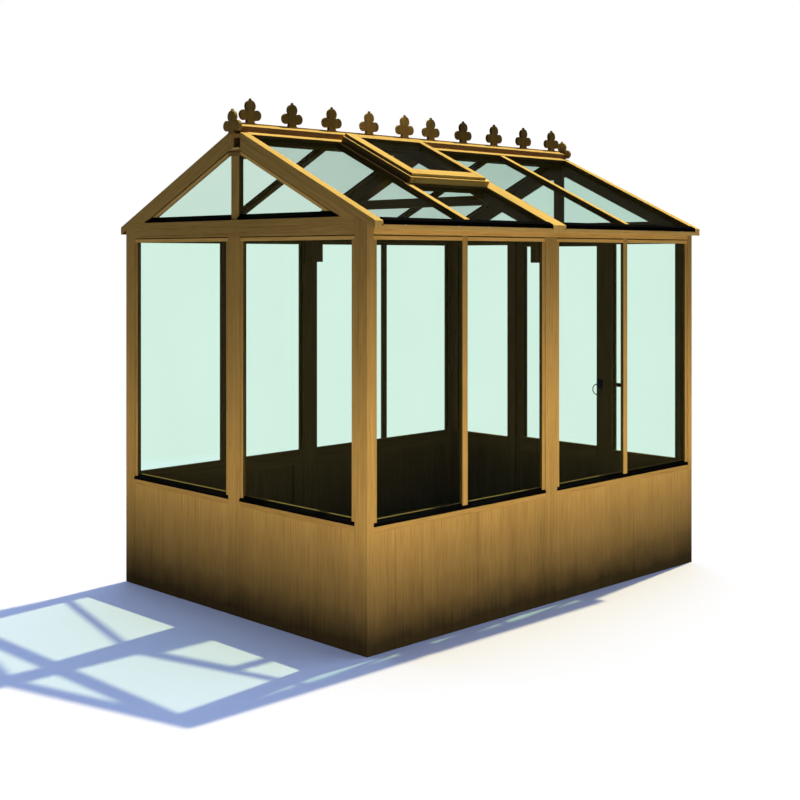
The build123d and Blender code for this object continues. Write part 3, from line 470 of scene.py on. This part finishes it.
# Gable triangles: two raked rails rise to the ridge and a short king post stands on the head rail.
timber("raked_rails", stained_timber, joints=True)
timber("king_posts", stained_timber)


# Window bars: a slim bar with a rounded foot parts each bay of the long walls into two panes.
timber("side_glazing_bars", stained_timber, joints=True)


# Glazing strips: black sloping strips under every pane, which shed the rain, pinned to the rail.
def strip_finish():
    """Black stained hardwood strip with a faint grain and a dull sheen."""
    material = bpy.data.materials.new("black_stained_strip")
    material.use_nodes = True
    tree = material.node_tree
    tree.nodes.clear()
    grain = add(tree, "ShaderNodeAttribute", attribute_name="grain")
    stretched = add(tree, "ShaderNodeMapping", {0: grain.outputs["Vector"], "Scale": (5.0, 260.0, 260.0)})
    fibre = add(tree, "ShaderNodeTexNoise", {"Vector": stretched.outputs[0], "Scale": 1.0, "Detail": 3.0})
    colour = add(tree, "ShaderNodeValToRGB", {0: fibre.outputs[0]})
    colour.color_ramp.elements[0].position = 0.35
    colour.color_ramp.elements[0].color = (0.0018, 0.0018, 0.0017, 1)
    colour.color_ramp.elements[1].position = 0.70
    colour.color_ramp.elements[1].color = (0.0055, 0.0055, 0.0050, 1)
    rough = add(tree, "ShaderNodeMapRange", {
        "Value": fibre.outputs[0], "From Min": 0.3, "From Max": 0.7, "To Min": 0.7, "To Max": 0.5})
    bump = add(tree, "ShaderNodeBump", {"Height": fibre.outputs[0], "Strength": 0.25, "Distance": 0.0006})
    surface = add(tree, "ShaderNodeBsdfPrincipled", {
        "Base Color": colour.outputs[0], "Roughness": rough.outputs[0], "Normal": bump.outputs[0],
        "Specular IOR Level": 0.0})
    add(tree, "ShaderNodeOutputMaterial", {"Surface": surface.outputs[0]})
    return material


black_stained_strip = strip_finish()
timber("sill_strips", black_stained_strip, arris=0.001)


# Glazing beads: square beads pinned round each pane, butted at the corners and stained as the posts.
# The arris of a head bead against the rebate is planed off and carries painted shade, and the beads that
# lie level or sloping are painted lighter as a painted highlight.
def pane_places(node):
    """The lowest and highest coordinates and the middle of each pane in a glass node."""
    solid = bmesh.new()
    solid.from_mesh(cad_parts[node].data)
    bmesh.ops.remove_doubles(solid, verts=solid.verts, dist=1e-5)
    places = []
    for pane in members_of(solid):
        spots = list(zip(*[corner.co for corner in pane]))
        places.append(([min(spot) for spot in spots], [max(spot) for spot in spots],
                       sum((corner.co for corner in pane), Vector()) / len(pane)))
    solid.free()
    return places


for beads, glass in (("gable_beads", "gable_glass"), ("side_beads", "side_glass")):
    timber(beads, stained_timber, arris=0.001, joints=True, quirk=0.005, panes=pane_places(glass),
           level_highlight=1.7)


# Wall glass: clear toughened float glass with its faint green, one pane to each light, bedded behind
# the beads. Its edges are green where the light travels far inside them.
def glass_finish(name, tint, edge_tint):
    """Clear glass that lets light straight through with a tint and mirrors more at a glancing angle."""
    material = bpy.data.materials.new(name)
    material.use_nodes = True
    tree = material.node_tree
    tree.nodes.clear()
    place = add(tree, "ShaderNodeTexCoord")
    ripple = add(tree, "ShaderNodeTexNoise", {"Vector": place.outputs["Object"], "Scale": 2.3, "Detail": 1.0})
    even = add(tree, "ShaderNodeMix", {
        "Factor": ripple.outputs[0], "A": tint, "B": [0.985 * value for value in tint[:3]] + [1]},
        data_type="RGBA")
    facing = add(tree, "ShaderNodeLayerWeight", {"Blend": 0.5})
    steep = add(tree, "ShaderNodeMath", {0: facing.outputs["Facing"], 1: 5.0}, operation="POWER")
    mirror = add(tree, "ShaderNodeMapRange", {
        "Value": steep.outputs[0], "From Min": 0.0, "From Max": 1.0, "To Min": 0.0015, "To Max": 0.015})
    deep = add(tree, "ShaderNodeMix", {
        "Factor": steep.outputs[0], "A": even.outputs[2], "B": edge_tint}, data_type="RGBA")
    through = add(tree, "ShaderNodeBsdfTransparent", {"Color": deep.outputs[2]})
    gloss = add(tree, "ShaderNodeBsdfGlossy", {"Color": (1, 1, 1, 1), "Roughness": 0.01})
    both = add(tree, "ShaderNodeMixShader", {
        0: mirror.outputs[0], 1: through.outputs[0], 2: gloss.outputs[0]})
    add(tree, "ShaderNodeOutputMaterial", {"Surface": both.outputs[0]})
    return material


def glaze(node, finish):
    """Give a glass node its finish."""
    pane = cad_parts[node]
    pane.data.materials.clear()
    pane.data.materials.append(finish)


wall_glass = glass_finish("wall_glass", (0.905, 0.976, 0.941, 1), (0.55, 0.75, 0.65, 1))
glaze("gable_glass", wall_glass)
glaze("side_glass", wall_glass)


# Roof timbers: end and centre rafters joined by rails at the ridge and the eaves, with a trimmer
# under the vent. They are grooved for the glass and their tops lie bare to the sun and rain.
timber("roof_rafters", stained_timber)
# Their outer faces at the eaves are painted lighter, a painted highlight.
timber("roof_rails", stained_timber)
timber("roof_glazing_bars", stained_timber)


# Roof truss: a pair of inner rafters, a collar tie across them and a short leg under each foot.
timber("truss_rafters", stained_timber)
timber("collar_tie", stained_timber)
timber("truss_legs", stained_timber)


# Roof glass and eaves strips: the panes slide down the grooves and stop on black strips at the eaves.
roof_glass = glass_finish("roof_glass", (0.884, 0.925, 0.900, 1), (0.45, 0.62, 0.55, 1))
glaze("roof_glass", roof_glass)
timber("eaves_strips", black_stained_strip, arris=0.001)


# Roof vent: a kerb stands on the bars and a glazed sash with wide stiles lies shut on it. A fillet
# glued in the corner behind the front bar keeps the draught out, and a thin strip in the painted shade
# colour lies on the bar's top in front of the kerb, a painted shadow of the kerb. The faces of the kerb
# and sash that look into the vent carry painted shade.
vent_middle = (0.31, -0.32, 2.165)
timber("vent_kerb", stained_timber, hollow=vent_middle)
timber("vent_sash", stained_timber, hollow=vent_middle)
glaze("vent_glass", roof_glass)


def small_block(name, low, high, finish, slope=0.0, stain_and_shade=0.0, level_highlight=1.0):
    """A small block between two corners, turned down the right slope of the roof if one is given."""
    solid = bmesh.new()
    corners = bmesh.ops.create_cube(solid, size=1.0)["verts"]
    bmesh.ops.scale(solid, vec=Vector(high) - Vector(low), verts=corners)
    bmesh.ops.translate(solid, vec=(Vector(high) + Vector(low)) / 2, verts=corners)
    bmesh.ops.rotate(solid, matrix=Matrix.Rotation(slope, 3, "Y"), verts=corners)
    if slope:
        bmesh.ops.translate(solid, vec=(0, 0, roof_apex), verts=corners)
    solid.normal_update()
    painted_shade = solid.faces.layers.float.new("painted_shade")
    for face in solid.faces:
        face[painted_shade] = stain_and_shade
    set_by_grain(solid, None, painted_shade, gable_face, False, level_highlight)
    mesh = bpy.data.meshes.new(name)
    solid.to_mesh(mesh)
    solid.free()
    mesh.materials.append(finish)
    piece = bpy.data.objects.new(name, mesh)
    bpy.context.scene.collection.objects.link(piece)
    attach(piece, "house")


vent_upper_end, vent_lower_end = 0.071, 0.591
small_block("vent_kerb_fillet", (vent_upper_end, -0.5928, -0.0202), (vent_lower_end, -0.5798, -0.0002),
            stained_timber, slope=roof_pitch)
# This strip carries the full painted shade, a painted shadow of the kerb on the bar.
small_block("vent_cover_strip", (vent_upper_end, -0.6268, -0.0030), (vent_lower_end, -0.5993, -0.0008),
            stained_timber, slope=roof_pitch, stain_and_shade=1.0)


# Ridge: a rebated softwood capping covers the joint of the two roofs and carries the crest boards. Its
# sides carry a redder and darker painted shade than its top.
ridge_timber = timber_finish("ridge_timber", shade_tone=(3.0, 2.2, 2.7))
timber("ridge_capping", ridge_timber, dark_sides=0.85)
timber("crest_boards", stained_timber, arris=0.001)


# Apex packing: blocks of softwood glued in the slot under each end finial, which leave a small dark
# hole at its right, and a narrow lip under the hole. The faces in the slot carry painted shade, and the
# lip is painted much lighter as a painted highlight.
slot_back, slot_mouth, rail_face, lip_nose = 1.1865, 1.2192, 1.2202, 1.2232
slot_foot, slot_head = 2.1912, 2.2535
for name, side in (("front_apex", -1), ("rear_apex", 1)):
    low_y, high_y = sorted((side * slot_back, side * slot_mouth))
    small_block(name + "_packing", (-0.0465, low_y, slot_foot), (-0.0030, high_y, slot_head), stained_timber)
    small_block(name + "_head_packing", (-0.0025, low_y, 2.2360), (0.0465, high_y, slot_head), stained_timber)
    low_y, high_y = sorted((side * slot_back, side * 1.1925))
    small_block(name + "_right_packing", (0.0380, low_y, slot_foot), (0.0465, high_y, 2.2355), stained_timber)
    low_y, high_y = sorted((side * rail_face, side * lip_nose))
    small_block(name + "_lip", (-0.0060, low_y, 2.1825), (0.0450, high_y, 2.1900), stained_timber,
                level_highlight=3.0)


# Finials: trefoils fretted from board with rounded arrises, ten along the ridge and one at each end.
# They are coloured darker than the rails, and some of the ten are darker than others.
finial_timber = timber_finish("finial_timber", outer_tone=0.62)
timber("ridge_finials", finial_timber, arris=0.003, along=(0, 0, 1),
       tones=(0.77, 0.70, 0.90, 1.70, 1.75, 1.10, 0.63, 0.77, 0.72, 0.82))
timber("end_finials", finial_timber, arris=0.003, along=(0, 0, 1))


# Door: a framed softwood leaf with boards below a single pane, hung on two iron hinges. It shuts
# against stops nailed to the posts and the head rail.
timber("door_stiles", stained_timber, body="door")
timber("door_rails", stained_timber, body="door")
timber("door_boards", stained_timber, body="door", along=(0, 0, 1))
timber("door_sill_strip", black_stained_strip, body="door", arris=0.001)
# As on the wall beads, the quirk carries painted shade and the level beads a painted highlight.
timber("door_beads", stained_timber, body="door", arris=0.001, joints=True, quirk=0.005,
       panes=pane_places("door_glass"), level_highlight=1.7)
timber("door_stops", stained_timber, arris=0.001)
glaze("door_glass", wall_glass)


# Ironwork: black japanned hinges, pins, ring handle, latch bar and keep, screwed to the timber.
def iron_finish():
    """Black japanned iron, slightly rough from casting."""
    material = bpy.data.materials.new("japanned_iron")
    material.use_nodes = True
    tree = material.node_tree
    tree.nodes.clear()
    place = add(tree, "ShaderNodeTexCoord")
    cast = add(tree, "ShaderNodeTexNoise", {"Vector": place.outputs["Object"], "Scale": 420.0, "Detail": 3.0})
    colour = add(tree, "ShaderNodeValToRGB", {0: cast.outputs[0]})
    colour.color_ramp.elements[0].position = 0.35
    colour.color_ramp.elements[0].color = (0.004, 0.004, 0.004, 1)
    colour.color_ramp.elements[1].position = 0.75
    colour.color_ramp.elements[1].color = (0.016, 0.015, 0.013, 1)
    rough = add(tree, "ShaderNodeMapRange", {
        "Value": cast.outputs[0], "From Min": 0.3, "From Max": 0.7, "To Min": 0.38, "To Max": 0.55})
    bump = add(tree, "ShaderNodeBump", {"Height": cast.outputs[0], "Strength": 0.3, "Distance": 0.0004})
    surface = add(tree, "ShaderNodeBsdfPrincipled", {
        "Base Color": colour.outputs[0], "Roughness": rough.outputs[0], "Normal": bump.outputs[0],
        "Specular IOR Level": 0.05})
    add(tree, "ShaderNodeOutputMaterial", {"Surface": surface.outputs[0]})
    return material


japanned_iron = iron_finish()
for node in ("hinge_fixed_leaves", "hinge_pins", "hinge_door_leaves", "door_latch", "latch_keep"):
    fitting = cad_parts[node]
    fitting.data.materials.clear()
    fitting.data.materials.append(japanned_iron)


# Screws: low iron heads with a slot across them, which hold the hinge leaves, the handle plates and
# the latch keep to the timber.
def fasteners(name, body, places, radius, rise, axis, finish, slotted=True):
    """Low round heads in one mesh, facing along an axis, each with a slot unless they are pins."""
    solid = bmesh.new()
    bmesh.ops.create_cone(solid, cap_ends=True, segments=20, radius1=radius, radius2=radius * 0.8, depth=rise)
    if slotted:
        for side in (-1, 1):
            bmesh.ops.bisect_plane(solid, geom=solid.verts[:] + solid.edges[:] + solid.faces[:],
                                   plane_co=(side * radius * 0.16, 0, 0), plane_no=(1, 0, 0))
        solid.normal_update()
        slot_faces = [face for face in solid.faces
                      if face.normal.z > 0.9 and abs(face.calc_center_median().x) < radius * 0.1]
        bmesh.ops.inset_region(solid, faces=slot_faces, thickness=radius * 0.03, depth=-rise * 0.5)
    turn = Vector((0, 0, 1)).rotation_difference(Vector(axis)).to_matrix()
    bmesh.ops.rotate(solid, matrix=turn, verts=solid.verts)
    pattern = solid.verts[:] + solid.edges[:] + solid.faces[:]
    pattern_corners = solid.verts[:]
    for place in places:
        head = bmesh.ops.duplicate(solid, geom=pattern)["geom"]
        bmesh.ops.translate(solid, vec=place,
                            verts=[part for part in head if isinstance(part, bmesh.types.BMVert)])
    bmesh.ops.delete(solid, geom=pattern_corners, context="VERTS")
    mesh = bpy.data.meshes.new(name)
    solid.to_mesh(mesh)
    solid.free()
    mesh.materials.append(finish)
    piece = bpy.data.objects.new(name, mesh)
    bpy.context.scene.collection.objects.link(piece)
    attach(piece, body)


hinge_heights = [bottom + step for bottom in (0.260, 1.560) for step in (0.014, 0.040, 0.066)]
plate_corners = [(0.3085 + across, 0.942 + up) for across in (-0.014, 0.014) for up in (-0.020, 0.020)]
hinge_screw, plate_screw, head_rise = 0.0035, 0.0028, 0.0012
for name, body, places, radius, way_out in (
    ("fixed_leaf_screws", "house", [(-0.357, 1.2234, height) for height in hinge_heights], hinge_screw, 1),
    ("door_leaf_screws", "door", [(-0.306, 1.2334, height) for height in hinge_heights], hinge_screw, 1),
    ("outer_plate_screws", "door", [(x, 1.2344, z) for x, z in plate_corners], plate_screw, 1),
    ("inner_plate_screws", "door", [(x, 1.1916, z) for x, z in plate_corners], plate_screw, -1),
    ("keep_screws", "house", [(x, 1.2234, 0.890) for x in (0.357, 0.377)], plate_screw, 1),
):
    fasteners(name, body, places, radius, head_rise, (0, way_out, 0), japanned_iron)


# Zinc pins: bright pins driven up under the nose of each eaves strip, two to a length, hold it to
# the eaves rail.
def zinc_finish():
    """Bright zinc, dulled a little by the weather."""
    material = bpy.data.materials.new("bright_zinc")
    material.use_nodes = True
    tree = material.node_tree
    tree.nodes.clear()
    place = add(tree, "ShaderNodeTexCoord")
    bloom = add(tree, "ShaderNodeTexNoise", {
        "Vector": place.outputs["Object"], "Scale": 300.0, "Detail": 2.0})
    colour = add(tree, "ShaderNodeValToRGB", {0: bloom.outputs[0]})
    colour.color_ramp.elements[0].color = (0.50, 0.56, 0.72, 1)
    colour.color_ramp.elements[1].color = (0.72, 0.78, 0.92, 1)
    surface = add(tree, "ShaderNodeBsdfPrincipled", {
        "Base Color": colour.outputs[0], "Roughness": 0.35, "Metallic": 0.6})
    add(tree, "ShaderNodeOutputMaterial", {"Surface": surface.outputs[0]})
    return material


pin_rows = [side * along for side in (-1, 1) for along in (0.177, 0.511, 0.709, 1.043)]
fasteners("eaves_pins", "house", [(side * 0.9655, along, 1.8140) for side in (-1, 1) for along in pin_rows],
          0.0030, 0.0040, (0, 0, -1), zinc_finish(), slotted=False)


# Low lamps again: every piece is on the list of what they light.
for piece in list(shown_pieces()):
    lit_by_lamps.objects.link(piece)
